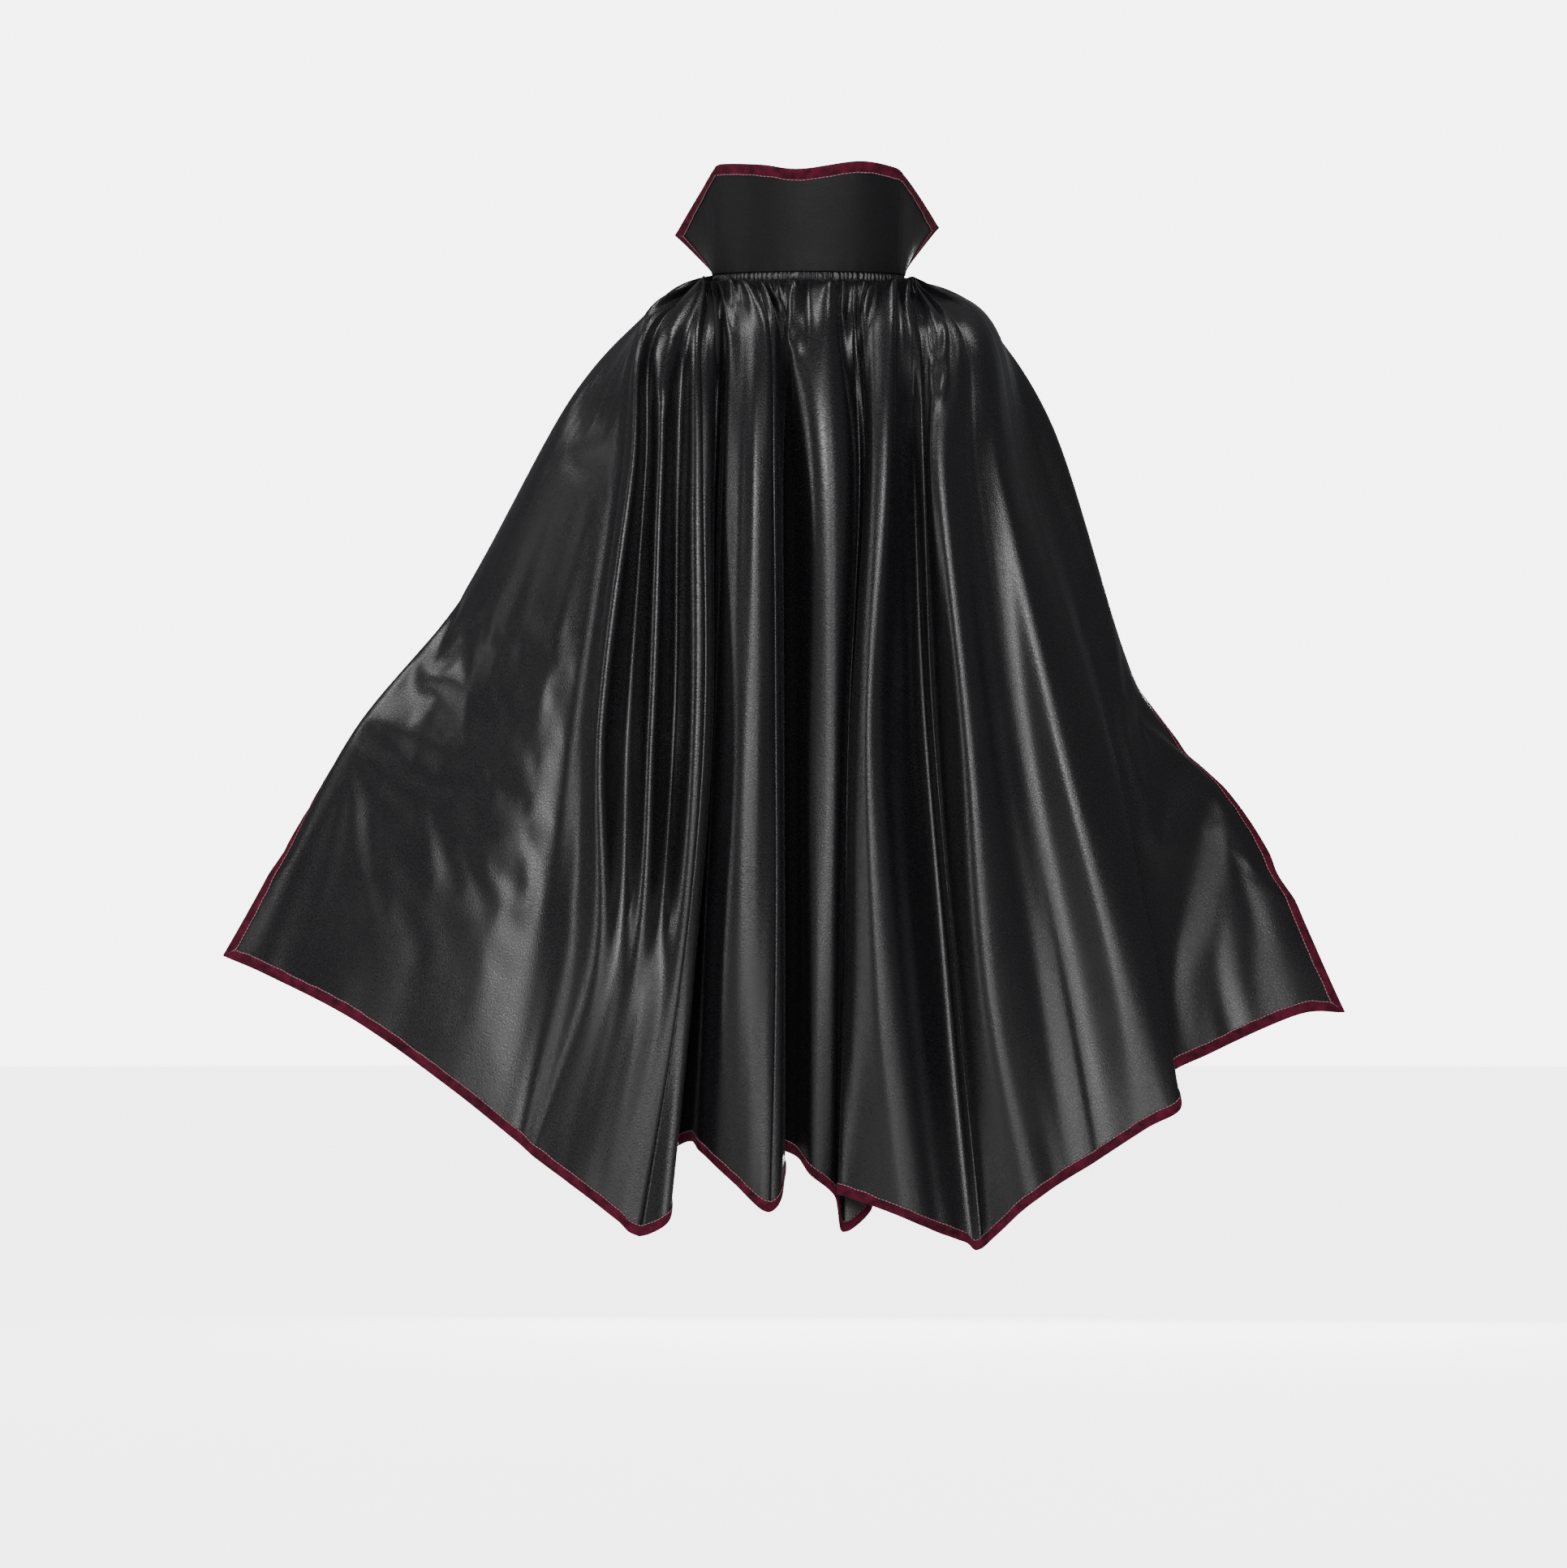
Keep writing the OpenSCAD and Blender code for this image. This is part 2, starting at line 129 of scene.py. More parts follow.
soft_light("key softbox", (-0.2, -5.6, 1.0), (0, 0, -0.4), 1.1, 2.0, 150)
soft_light("high left softbox", (-3.0, -0.6, 3.2), (0, 0, -0.3), 1.4, 1.4, 55)
soft_light("overhead strip", (0.4, -0.5, 3.0), (0, -0.05, 0), 0.35, 1.4, 32)
soft_light("right strip", (2.0, -4.9, 0.5), (0, 0, -0.4), 0.35, 2.2, 42)
soft_light("left strip", (-4.8, -1.4, 0.3), (0, 0, -0.4), 0.4, 2.4, 35)
soft_light("front fill", (0.3, 3.6, -0.5), (0, 0, -0.4), 1.6, 1.0, 130)

lens = bpy.data.cameras.new("camera")
lens.lens = lens.sensor_width * (camera_distance - cape_depth) / view_width
camera = bpy.data.objects.new("camera", lens)
camera.location = (camera_x, -camera_distance, camera_z)
camera.rotation_euler = (math.radians(90), 0, 0)
scene.collection.objects.link(camera)
scene.camera = camera

# ---------- the satin body of the cape ----------
# Five gores of black polyester satin, each flaring from the gathered neck to a scallop between
# two hem points, and seamed side to side. The wearer's hands hold the two outer gores out.
neck_half_w, neck_half_d = 0.084, 0.062
neck_seam_z = 0.0035
gore_columns = [84, 56, 56, 56, 84]
rows = 110

# Fold lines from the left front edge round the back to the right front edge. Each one is its
# angle on the neck, then its points at shoulder, blade, waist, hip and hem. Each list is a gore.
fold_lines = [
    [
        (-155, (-.088, .078, -.048), (-.172, .058, -.118), (-.300, .012, -.278),
         (-.425, -.025, -.434), (-.518, -.048, -.596)),
        (-140, (-.118, .024, -.012), (-.206, -.006, -.092), (-.316, -.018, -.285),
         (-.408, -.046, -.418), (-.476, -.068, -.613)),
        (-128, (-.136, -.020, -.021), (-.212, -.050, -.138), (-.290, -.070, -.335),
         (-.350, -.084, -.490), (-.400, -.096, -.650)),
        (-118, (-.144, -.048, -.030), (-.190, -.080, -.170), (-.240, -.098, -.380),
         (-.282, -.108, -.560), (-.320, -.116, -.704)),
        (-110, (-.145, -.068, -.038), (-.172, -.092, -.170), (-.205, -.108, -.390),
         (-.228, -.116, -.590), (-.258, -.124, -.752)),
        (-104, (-.144, -.084, -.044), (-.156, -.126, -.170), (-.181, -.144, -.390),
         (-.186, -.146, -.590), (-.236, -.136, -.771)),
        (-98, (-.136, -.080, -.050), (-.144, -.098, -.170), (-.160, -.100, -.390),
         (-.170, -.146, -.595), (-.218, -.142, -.784)),
        (-94, (-.124, -.092, -.050), (-.130, -.128, -.170), (-.137, -.146, -.390),
         (-.150, -.150, -.600), (-.200, -.146, -.797)),
        (-90, (-.110, -.086, -.050), (-.116, -.096, -.170), (-.119, -.092, -.390),
         (-.138, -.148, -.605), (-.184, -.148, -.809)),
        (-87, (-.100, -.092, -.050), (-.103, -.128, -.170), (-.106, -.146, -.390),
         (-.122, -.148, -.610), (-.166, -.150, -.823)),
        (-85, (-.094, -.092, -.050), (-.094, -.130, -.170), (-.094, -.148, -.400),
         (-.112, -.150, -.615), (-.148, -.152, -.836)),
    ],
    [
        (-76, (-.086, -.088, -.050), (-.084, -.120, -.170), (-.086, -.126, -.400),
         (-.100, -.138, -.620), (-.119, -.152, -.818)),
        (-70, (-.084, -.082, -.050), (-.088, -.092, -.170), (-.092, -.084, -.400),
         (-.110, -.086, -.610), (-.134, -.084, -.780)),
        (-64, (-.078, -.084, -.050), (-.080, -.092, -.170), (-.086, -.090, -.400),
         (-.096, -.088, -.600), (-.110, -.088, -.756)),
        (-56, (-.068, -.092, -.050), (-.072, -.124, -.170), (-.080, -.128, -.400),
         (-.090, -.128, -.606), (-.098, -.122, -.762)),
        (-46, (-.054, -.100, -.050), (-.053, -.140, -.170), (-.056, -.146, -.400),
         (-.062, -.146, -.615), (-.066, -.140, -.790)),
        (-34, (-.034, -.102, -.050), (-.030, -.132, -.170), (-.028, -.136, -.400),
         (-.030, -.140, -.620), (-.035, -.144, -.815)),
    ],
    [
        (-29, (-.026, -.096, -.050), (-.023, -.112, -.170), (-.022, -.108, -.400),
         (-.021, -.114, -.610), (-.021, -.124, -.782)),
        (-22, (-.025, -.091, -.050), (-.026, -.092, -.170), (-.030, -.086, -.400),
         (-.032, -.086, -.600), (-.034, -.086, -.762)),
        (-15, (-.018, -.093, -.050), (-.015, -.104, -.170), (-.014, -.101, -.400),
         (-.013, -.101, -.600), (-.013, -.099, -.768)),
        (0, (.000, -.102, -.050), (.006, -.130, -.170), (.002, -.124, -.400),
         (.002, -.123, -.615), (.002, -.114, -.784)),
        (15, (.022, -.098, -.050), (.032, -.124, -.170), (.027, -.120, -.400),
         (.025, -.119, -.620), (.023, -.109, -.804)),
        (25, (.036, -.090, -.050), (.046, -.092, -.170), (.036, -.084, -.400),
         (.034, -.086, -.630), (.031, -.092, -.835)),
    ],
    [
        (32, (.044, -.088, -.050), (.052, -.090, -.170), (.044, -.084, -.400),
         (.048, -.088, -.620), (.056, -.098, -.812)),
        (40, (.050, -.094, -.050), (.050, -.122, -.170), (.036, -.122, -.400),
         (.032, -.124, -.620), (.029, -.132, -.800)),
        (50, (.062, -.096, -.050), (.062, -.140, -.170), (.050, -.152, -.400),
         (.058, -.156, -.630), (.078, -.154, -.818)),
        (62, (.078, -.088, -.050), (.078, -.130, -.170), (.072, -.134, -.400),
         (.090, -.142, -.632), (.112, -.144, -.832)),
        (74, (.090, -.084, -.050), (.092, -.100, -.170), (.100, -.096, -.400),
         (.120, -.110, -.635), (.138, -.130, -.842)),
        (85, (.098, -.084, -.050), (.100, -.112, -.170), (.109, -.102, -.400),
         (.131, -.118, -.640), (.151, -.132, -.847)),
    ],
    [
        (90, (.120, -.084, -.050), (.114, -.130, -.170), (.138, -.146, -.400),
         (.160, -.152, -.630), (.196, -.150, -.806)),
        (98, (.140, -.082, -.050), (.152, -.106, -.170), (.186, -.116, -.400),
         (.228, -.126, -.610), (.256, -.136, -.768)),
        (106, (.153, -.068, -.041), (.174, -.094, -.165), (.222, -.122, -.400),
         (.270, -.134, -.600), (.296, -.138, -.742)),
        (113, (.158, -.050, -.034), (.190, -.066, -.165), (.258, -.094, -.395),
         (.302, -.116, -.585), (.327, -.130, -.724)),
        (120, (.160, -.034, -.030), (.198, -.050, -.165), (.266, -.072, -.395),
         (.300, -.090, -.575), (.314, -.104, -.698)),
        (128, (.156, -.014, -.024), (.206, -.034, -.160), (.284, -.058, -.395),
         (.326, -.074, -.560), (.350, -.086, -.680)),
        (140, (.128, .024, -.014), (.212, -.004, -.114), (.292, -.026, -.350),
         (.380, -.042, -.495), (.430, -.064, -.648)),
        (155, (.088, .078, -.048), (.174, .056, -.126), (.284, .002, -.338),
         (.398, -.026, -.486), (.472, -.052, -.647)),
    ],
]


def smooth_through(points, at):
    """Places on the smooth curve through the points. A place is counted in points from the first."""
    at = np.asarray(at, float)
    i = np.clip(np.floor(at).astype(int), 0, len(points) - 2)
    t = (at - i).reshape((-1,) + (1,) * (points.ndim - 1))
    first, last = 2 * points[0] - points[1], 2 * points[-1] - points[-2]
    p = np.concatenate([[first], points, [last]])
    a, b, c, d = p[i], p[i + 1], p[i + 2], p[i + 3]
    square, cube = 2 * a - 5 * b + 4 * c - d, 3 * b - a - 3 * c + d
    return 0.5 * (2 * b + (c - a) * t + square * t**2 + cube * t**3)


def neck_oval(angle, z=0.0, grow=0.0):
    """Points on the neck oval, counted in degrees from the back centre."""
    turn = np.radians(angle)
    return np.stack([(neck_half_w + grow) * np.sin(turn), -(neck_half_d + grow) * np.cos(turn),
                     np.full_like(turn, z)], axis=-1)


every_line = [line for gore in fold_lines for line in gore]
line_angles = np.array([line[0] for line in every_line], float)
line_points = np.array([line[1:] for line in every_line], float)
seam_at = [0]
for gore in fold_lines:
    seam_at.append(seam_at[-1] + len(gore))
seam_at = [0] + [s - 1 for s in seam_at[1:]]
seam_columns = [sum(gore_columns[:k]) for k in range(6)]

# Columns are spread over each gore by the length of cloth at the hip.
hip = 3
column_place = [0.0]
for k in range(5):
    fine = np.linspace(seam_at[k], seam_at[k + 1], 400)
    run = smooth_through(line_points[:, hip], fine)
    length = np.concatenate([[0], np.cumsum(np.linalg.norm(np.diff(run, axis=0), axis=1))])
    share = np.linspace(0, length[-1], gore_columns[k] + 1)[1:]
    column_place += list(np.interp(share, length, fine))
column_place = np.array(column_place)
columns = len(column_place)
neck_angle = smooth_through(line_angles[:, None], column_place)[:, 0]
neck_places = neck_oval(neck_angle, neck_seam_z, 0.0002)[:, None]
stations = np.concatenate([neck_places, smooth_through(line_points, column_place)], axis=1)
draped = np.stack([smooth_through(column, np.linspace(0, 5, 400)) for column in stations])
steps = np.linalg.norm(np.diff(draped, axis=1), axis=2)
lengths = np.concatenate([np.zeros((columns, 1)), np.cumsum(steps, axis=1)], axis=1)
cloth = np.empty((columns, rows + 1, 3))
for i in range(columns):
    even = np.linspace(0, lengths[i, -1], rows + 1)
    for axis in range(3):
        cloth[i, :, axis] = np.interp(even, lengths[i], draped[i, :, axis])


def as_piece(name, bm):
    """The finished bmesh as an object at the origin, with smooth faces."""
    mesh = bpy.data.meshes.new(name)
    for face in bm.faces:
        face.smooth = True
    bm.to_mesh(mesh)
    bm.free()
    piece = bpy.data.objects.new(name, mesh)
    scene.collection.objects.link(piece)
    return piece


def woven_grid(name, places, cut_places, turned=False):
    """A sheet made from a flat grid whose crossings are moved to their places."""
    across, down = places.shape[0] - 1, places.shape[1] - 1
    bm = bmesh.new()
    bmesh.ops.create_grid(bm, x_segments=across, y_segments=down, size=0.5)
    cut = bm.loops.layers.uv.new("cut")
    for vert in bm.verts:
        vert.co.z = round((vert.co.x + 0.5) * across) * (down + 1) + round((0.5 - vert.co.y) * down)
    for face in bm.faces:
        for loop in face.loops:
            loop[cut].uv = cut_places.reshape(-1, 2)[round(loop.vert.co.z)]
    for vert in bm.verts:
        vert.co = places.reshape(-1, 3)[round(vert.co.z)]
    if turned:
        bmesh.ops.reverse_faces(bm, faces=bm.faces)
    return as_piece(name, bm)


def finish(piece):
    """Puts what the modifiers made into the mesh itself."""
    made = bpy.data.meshes.new_from_object(piece.evaluated_get(bpy.context.evaluated_depsgraph_get()))
    piece.modifiers.clear()
    piece.data = made
    return piece


def give_thickness(piece, thickness, rounds=1, offset=0.0, inner_slot=0):
    """A smoother sheet with this much thickness. An offset of -1 grows it inwards."""
    if rounds:
        soft = piece.modifiers.new("soft", "SUBSURF")
        soft.levels = soft.render_levels = rounds
    wall = piece.modifiers.new("cloth thickness", "SOLIDIFY")
    wall.thickness, wall.offset = thickness, offset
    wall.material_offset = inner_slot
    return finish(piece)


# The cut: a sector of a ring, so that the gores flare. It is gathered at the neck.
front_cut, back_cut = (0.46, 0.90, 0.30), (0.28, 0.85, 0.165)
gore_cuts = [front_cut, back_cut, back_cut, back_cut, front_cut]
cut_length, cut_neck = 0.85, 0.75
cut_hem = sum(cut[0] for cut in gore_cuts)
flare = (cut_hem - cut_neck) / cut_length
neck_radius = cut_neck / flare
seam_cuts = [sum(cut[0] for cut in gore_cuts[:k]) / cut_hem * flare for k in range(6)]
cut_angle = np.interp(np.arange(columns), seam_columns, seam_cuts)[:, None]
cut_radius = neck_radius + lengths[:, -1:] * np.linspace(0, 1, rows + 1)[None]
cut_places = np.stack([cut_radius * np.sin(cut_angle), -cut_radius * np.cos(cut_angle)], axis=-1)


def facing(places):
    """The inward normal of a grid of places at each crossing."""
    n = np.cross(np.gradient(places, axis=0), np.gradient(places, axis=1))
    return n / np.maximum(np.linalg.norm(n, axis=2, keepdims=True), 1e-12)


# The cloth is let go for a moment: held at the neck and in both hands, softly everywhere else,
# and a little larger than its place, so that it settles into creases of its own.
left_grip, right_grip = (-0.420, -0.025, -0.430), (0.392, -0.026, -0.483)
grip_reach = 0.03
neck_rows, least_hold = 4, 0.1
settling_steps = 16
draping = woven_grid("draping", cloth, cut_places)
order = np.array([v.co for v in draping.data.vertices])
held = draping.vertex_groups.new(name="held")
flat_cloth = cloth.reshape(-1, 3)
crossing_at = {tuple(np.round(p, 6)): k for k, p in enumerate(flat_cloth.astype(np.float32))}
crossings = np.array([crossing_at[tuple(np.round(p, 6))] for p in order.astype(np.float32)])
for v, k in enumerate(crossings):
    row = k % (rows + 1)
    grip = min(np.linalg.norm(order[v] - left_grip), np.linalg.norm(order[v] - right_grip))
    weight = 1.0 if grip < grip_reach else max(least_hold, 1 - row / neck_rows)
    held.add([v], weight, "REPLACE")
drape = draping.modifiers.new("drape", "CLOTH")
drape.settings.quality = 6
drape.settings.mass = 0.003
drape.settings.tension_stiffness = 60
drape.settings.compression_stiffness = 60
drape.settings.shear_stiffness = 15
drape.settings.bending_stiffness = 2.0
drape.settings.air_damping = 2
drape.settings.vertex_group_mass = "held"
drape.settings.pin_stiffness = 1
drape.settings.shrink_min = -0.0035
drape.collision_settings.use_collision = False
drape.point_cache.frame_start, drape.point_cache.frame_end = 1, settling_steps + 2
for step in range(1, settling_steps + 1):
    scene.frame_set(step)
finish(draping)
settled = np.array([v.co for v in draping.data.vertices])
flat_cloth[crossings] = settled
cloth = flat_cloth.reshape(columns, rows + 1, 3)
bpy.data.objects.remove(draping)
scene.frame_set(1)

# Gathers: the neck edge is drawn up on the elastic, so sharp little folds start at the casing
# and die out at different depths.
lie_flat_under_casing = 0.012
around = np.linspace(0, 1, columns)
down = lengths[:, -1:] * np.linspace(0, 1, rows + 1)[None]
ripple = np.zeros((columns, rows + 1))
for count, gather_height, shortest, longest in ((34, 0.0115, 0.030, 0.150), (70, 0.0038, 0.012, 0.034)):
    for g in range(count):
        chance = [0.5 + 0.9 * noise.noise((g * 1.7, count, k * 5.3)) for k in range(4)]
        spot = (g + chance[0]) / count
        reach = shortest + (longest - shortest) * abs(chance[1]) ** 2
        height = gather_height * (0.5 + chance[2])
        lean = 0.03 * (chance[3] - 0.5) * down / reach
        width = 0.20 / count * (1 + 0.8 * chance[3]) + 0.05 * down
        off = (around[:, None] + lean - spot) / width
        gather = height * np.exp(-off**2) * np.exp(-((down / reach) ** 2))
        ripple += gather * np.clip(down / lie_flat_under_casing, 0, 1)
cloth = cloth - facing(cloth) * ripple[..., None]

# Slack between the big folds: long shallow ripples down the back, fewer over the wings.
hip_row = 70
left_wing_columns, right_wing_columns = seam_columns[1] * 0.7, 60
wing_share = 0.30
long_ripple, short_ripple = 0.0048, 0.0016
hip_run = np.concatenate([[0], np.cumsum(np.linalg.norm(np.diff(cloth[:, hip_row], axis=0), axis=1))])
slack = np.zeros((columns, rows + 1))
for i in range(columns):
    on_wing = i < left_wing_columns or i > columns - right_wing_columns
    calm = wing_share if on_wing else 1.0
    for j in range(rows + 1):
        reach = min(1.0, down[i, j] / 0.10)
        long_wave = long_ripple * noise.noise((hip_run[i] * 26, down[i, j] * 1.9, 3.0))
        short_wave = short_ripple * noise.noise((hip_run[i] * 60, down[i, j] * 4.0, 8.0))
        slack[i, j] = calm * reach * (long_wave + short_wave)
cloth = cloth - facing(cloth) * slack[..., None]

# Loops of slack satin hang beside the neck, each a narrow drooping ridge. Each is its place as seen
# from behind, its half width and its depth.
loop_height = 0.0030
for loop_x, loop_z, half_w, deep in ((-.126, -.072, .0075, .030), (.112, -.048, .007, .022),
                                     (.113, -.082, .006, .020), (-.012, -.046, .006, .012)):
    seen = (cloth[..., 0] - loop_x) ** 2 + (cloth[..., 2] - loop_z) ** 2 + np.where(cloth[..., 1] > 0, 1, 0)
    i, j = np.unravel_index(np.argmin(seen), seen.shape)
    beside = cloth[..., 0] - cloth[i, j, 0]
    below = cloth[i, j, 2] - cloth[..., 2]
    ring = np.sqrt((beside / half_w) ** 2 + (np.maximum(below, 0) / deep) ** 2)
    ridge = np.exp(-(((ring - 1) / 0.38) ** 2)) * np.exp(-((np.minimum(below, 0) / 0.018) ** 2))
    near = (np.abs(beside) < 0.03) & (np.abs(below) < 0.07) & (cloth[..., 1] < 0.02)
    cloth = cloth - facing(cloth) * (loop_height * ridge * near)[..., None]
inward = facing(cloth)

# Seams between the gores are drawn in a little.
seam_groove, beside_seam = 0.0016, 0.0007
for seam in seam_columns[1:-1]:
    for side in (-1, 0, 1):
        cloth[seam + side] += inward[seam + side] * (beside_seam if side else seam_groove)
inward = facing(cloth)

# Outer face: black satin, glossy along the folds, with a fine slubby grain from the weave.
satin, satin_nodes, satin_links, satin_shader = new_finish("black satin")
satin_shader.inputs["Specular IOR Level"].default_value = 0.55
satin_shader.inputs["Sheen Weight"].default_value = 0.03
satin_shader.inputs["Sheen Roughness"].default_value = 0.35
satin_shader.inputs["Sheen Tint"].default_value = (0.75, 0.78, 0.85, 1)
satin_at = satin_nodes.new("ShaderNodeTexCoord")
threads = satin_nodes.new("ShaderNodeMapping")
threads.inputs["Scale"].default_value = (800, 560, 1)
satin_links.new(satin_at.outputs["UV"], threads.inputs["Vector"])
slub = satin_nodes.new("ShaderNodeTexNoise")
slub.inputs["Scale"].default_value = 1
slub.inputs["Detail"].default_value = 3
satin_links.new(threads.outputs["Vector"], slub.inputs["Vector"])
wear = satin_nodes.new("ShaderNodeTexNoise")
wear.inputs["Scale"].default_value = 14
wear.inputs["Detail"].default_value = 4
satin_links.new(satin_at.outputs["Object"], wear.inputs["Vector"])
tone = satin_nodes.new("ShaderNodeMapRange")
tone.inputs["To Min"].default_value = 0.003
tone.inputs["To Max"].default_value = 0.010
satin_links.new(slub.outputs["Fac"], tone.inputs["Value"])
tint = satin_nodes.new("ShaderNodeCombineColor")
for channel, share in (("Red", 1.06), ("Green", 0.92), ("Blue", 1.10)):
    part_of = satin_nodes.new("ShaderNodeMath")
    part_of.operation = "MULTIPLY"
    part_of.inputs[1].default_value = share
    satin_links.new(tone.outputs["Result"], part_of.inputs[0])
    satin_links.new(part_of.outputs[0], tint.inputs[channel])
satin_links.new(tint.outputs["Color"], satin_shader.inputs["Base Color"])
patches = satin_nodes.new("ShaderNodeMapRange")
patches.inputs["From Min"].default_value, patches.inputs["From Max"].default_value = 0.3, 0.7
patches.inputs["To Min"].default_value, patches.inputs["To Max"].default_value = 0.30, 0.37
satin_links.new(wear.outputs["Fac"], patches.inputs["Value"])
sparkle = satin_nodes.new("ShaderNodeMapRange")
sparkle.inputs["From Min"].default_value, sparkle.inputs["From Max"].default_value = 0.35, 0.65
sparkle.inputs["To Min"].default_value, sparkle.inputs["To Max"].default_value = -0.09, 0.05
satin_links.new(slub.outputs["Fac"], sparkle.inputs["Value"])
gloss = satin_nodes.new("ShaderNodeMath")
satin_links.new(patches.outputs["Result"], gloss.inputs[0])
satin_links.new(sparkle.outputs["Result"], gloss.inputs[1])
satin_links.new(gloss.outputs[0], satin_shader.inputs["Roughness"])
nap = satin_nodes.new("ShaderNodeBump")
nap.inputs["Strength"].default_value = 0.75
nap.inputs["Distance"].default_value = 0.0003
satin_links.new(slub.outputs["Fac"], nap.inputs["Height"])
satin_links.new(nap.outputs["Normal"], satin_shader.inputs["Normal"])


def duller_satin(name, shine, roughness):
    """A copy of the satin with less shine and one roughness all over."""
    dull = satin.copy()
    dull.name = name
    shader = dull.node_tree.nodes["Principled BSDF"]
    shader.inputs["Specular IOR Level"].default_value = shine
    for link in list(shader.inputs["Roughness"].links):
        dull.node_tree.links.remove(link)
    shader.inputs["Roughness"].default_value = roughness
    return dull


# Inner face: the dull back of the same satin.
satin_back = duller_satin("dull back of the satin", 0.3, 0.72)

gore_names = ["left_front_gore", "left_back_gore", "centre_back_gore", "right_back_gore",
              "right_front_gore"]
gore_nodes = [
    ("left_shoulder_panel", "left_wing_panel"), ("left_back_panel",), ("centre_back_panel",),
    ("right_back_panel",), ("right_shoulder_panel", "right_wing_panel"),
]
satin_thickness = 0.0005


def swing_with_wing(piece):
    """Puts the piece's transform into its mesh, where it stays unbent."""
    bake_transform(piece)


for k, name in enumerate(gore_names):
    span = slice(seam_columns[k], seam_columns[k + 1] + 1)
    gore = woven_grid(name, cloth[span], cut_places[span])
    gore.data.materials.append(satin)
    gore.data.materials.append(satin_back)
    give_thickness(gore, satin_thickness, inner_slot=1)
    if k in (0, 4):
        swing_with_wing(gore)
    else:
        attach(gore, "root")
    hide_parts(*gore_nodes[k])

# ---------- the velvet binding of the hem and the front edges ----------
# A bias tape of wine velvet, folded over the raw edge of the satin and stitched through. One
# length for each gore's scallop, mitred at the hem points, and one down each front edge.
binding_w = 0.0095
binding_t = 0.0008
tape_every = 0.0022
mitre_end_w = 0.0004

velvet, velvet_nodes, velvet_links, velvet_shader = new_finish("wine velvet")
velvet_shader.inputs["Roughness"].default_value = 0.85
velvet_shader.inputs["Specular IOR Level"].default_value = 0.2
velvet_shader.inputs["Sheen Weight"].default_value = 0.08
velvet_shader.inputs["Sheen Roughness"].default_value = 0.3
velvet_shader.inputs["Sheen Tint"].default_value = (0.9, 0.25, 0.35, 1)
velvet_at = velvet_nodes.new("ShaderNodeTexCoord")
pile = velvet_nodes.new("ShaderNodeTexNoise")
pile.inputs["Scale"].default_value = 1400
pile.inputs["Detail"].default_value = 3
brushed = velvet_nodes.new("ShaderNodeTexNoise")
brushed.inputs["Scale"].default_value = 130
brushed.inputs["Detail"].default_value = 3
velvet_links.new(velvet_at.outputs["Object"], pile.inputs["Vector"])
velvet_links.new(velvet_at.outputs["Object"], brushed.inputs["Vector"])
shade = velvet_nodes.new("ShaderNodeValToRGB")
shade.color_ramp.elements[0].position = 0.3
shade.color_ramp.elements[0].color = (0.030, 0.0015, 0.007, 1)
shade.color_ramp.elements[1].position = 0.72
shade.color_ramp.elements[1].color = (0.12, 0.006, 0.026, 1)
velvet_links.new(brushed.outputs["Fac"], shade.inputs["Fac"])
tufts = velvet_nodes.new("ShaderNodeBump")
tufts.inputs["Strength"].default_value = 0.8
tufts.inputs["Distance"].default_value = 0.0005
velvet_links.new(pile.outputs["Fac"], tufts.inputs["Height"])
velvet_links.new(tufts.outputs["Normal"], velvet_shader.inputs["Normal"])

# A line of lockstitch runs just inside both edges of the tape.
velvet_cut = velvet_nodes.new("ShaderNodeSeparateXYZ")
velvet_links.new(velvet_at.outputs["UV"], velvet_cut.inputs["Vector"])


def worked_out(operation, first, second):
    """The outlet of a sum in the velvet. Each term is a number or another outlet."""
    node = velvet_nodes.new("ShaderNodeMath")
    node.operation = operation
    for socket, value in zip(node.inputs, (first, second)):
        if isinstance(value, (int, float)):
            socket.default_value = value
        else:
            velvet_links.new(value, socket)
    return node.outputs[0]


stitch_length, stitch_half_w, stitch_low, stitch_high = 0.0034, 0.00035, 0.0014, 0.0159
thread_share = 0.72
along_stitch = worked_out("FRACT", worked_out("DIVIDE", velvet_cut.outputs["X"], stitch_length), 0)
dash = worked_out("LESS_THAN", along_stitch, thread_share)
on_line = []
for line in (stitch_low, stitch_high):
    off_line = worked_out("ABSOLUTE", worked_out("SUBTRACT", velvet_cut.outputs["Y"], line), 0)
    on_line.append(worked_out("LESS_THAN", off_line, stitch_half_w))
stitched = worked_out("MULTIPLY", worked_out("ADD", *on_line), dash)
thread_mix = velvet_nodes.new("ShaderNodeMix")
thread_mix.data_type = "RGBA"
tape_colour, thread_colour = [inlet for inlet in thread_mix.inputs if inlet.type == "RGBA"]
stitched_colour = [outlet for outlet in thread_mix.outputs if outlet.type == "RGBA"][0]
thread_colour.default_value = (0.32, 0.27, 0.27, 1)
velvet_links.new(stitched, thread_mix.inputs["Factor"])
velvet_links.new(shade.outputs["Color"], tape_colour)
velvet_links.new(stitched_colour, velvet_shader.inputs["Base Color"])

# The fold's outline: how far in from the edge, and how far out from the satin, each in shares
# of the binding's width and thickness, from the inner side round the edge to the outer side.
fold_outline = [(1.0, 0.45), (0.93, 1.0), (0.6, 1.25), (0.25, 1.2), (-0.02, 0.85), (-0.13, 0.0),
                (-0.02, -0.85), (0.25, -1.2), (0.6, -1.25), (0.93, -1.0), (1.0, -0.45)]


